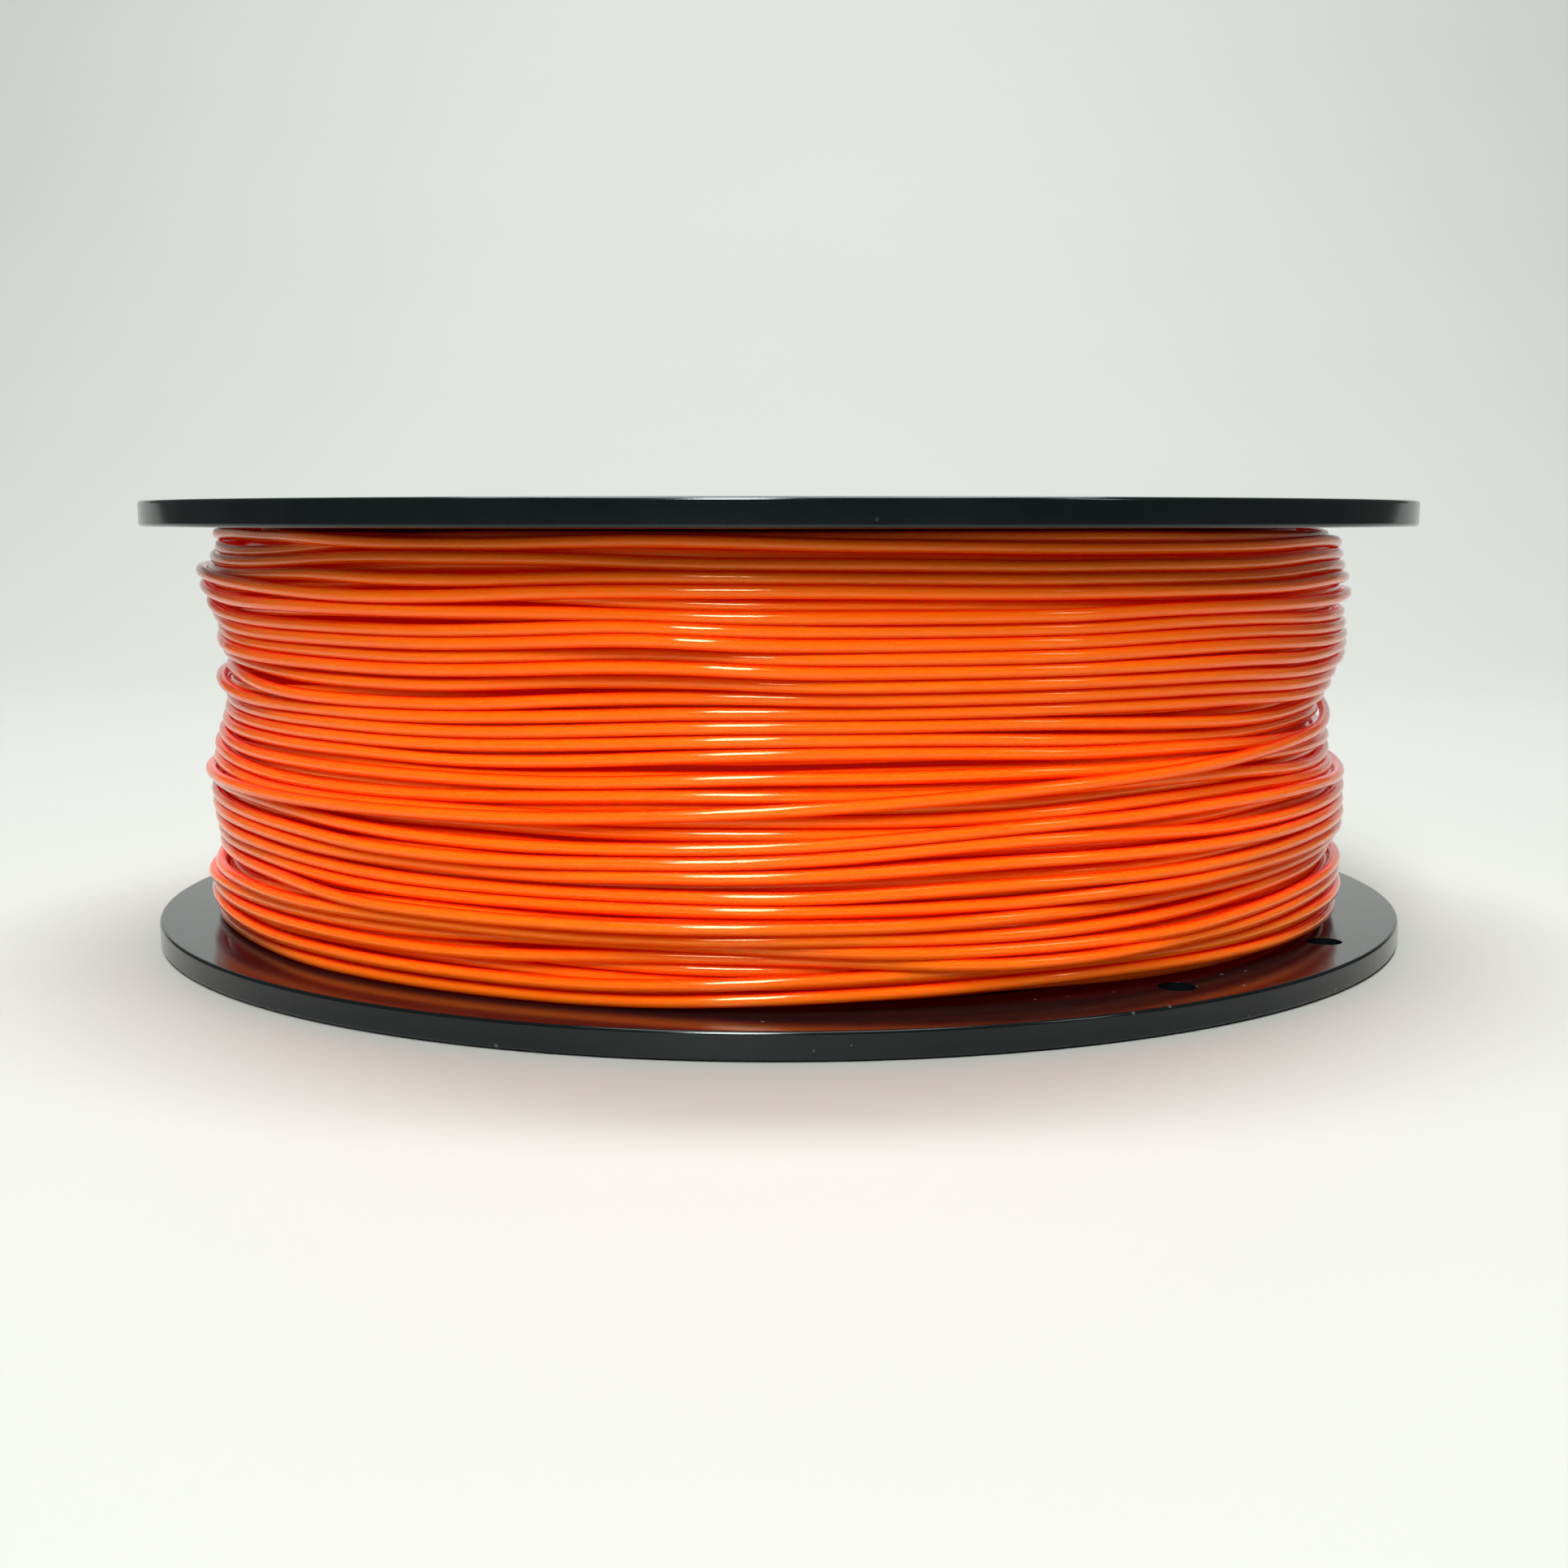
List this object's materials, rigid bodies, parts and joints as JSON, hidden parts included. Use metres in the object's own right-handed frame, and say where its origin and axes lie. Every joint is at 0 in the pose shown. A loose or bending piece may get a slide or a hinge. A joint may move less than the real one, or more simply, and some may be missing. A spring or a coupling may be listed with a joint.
{
  "type": "filament spool",
  "caption": "Full spool of plastic printer filament: two round black flanges clipped to a drum with a central bore, wound with orange strand.",
  "frame": {"origin": "centre of the lower flange's outer face, on the spool's axis", "axes": "+Z along the spool's axis, up through the winding to the upper flange; -Y towards the side where the strand's last turn crosses the winding"},
  "size_m": [0.2, 0.2, 0.0675],
  "materials": {
    "spool_plastic": "black moulded plastic, semi-gloss, fine dust and light scuffs",
    "filament": "glossy orange extruded plastic strand, 1.75 mm, very slightly translucent"
  },
  "bodies": {
    "root": {"lower_flange": "spool_plastic", "upper_flange": "spool_plastic", "core_drum": "spool_plastic", "filament_start_tail": "filament", "filament_winding": "filament", "filament_last_turn": "filament"}
  },
  "joints": []
}
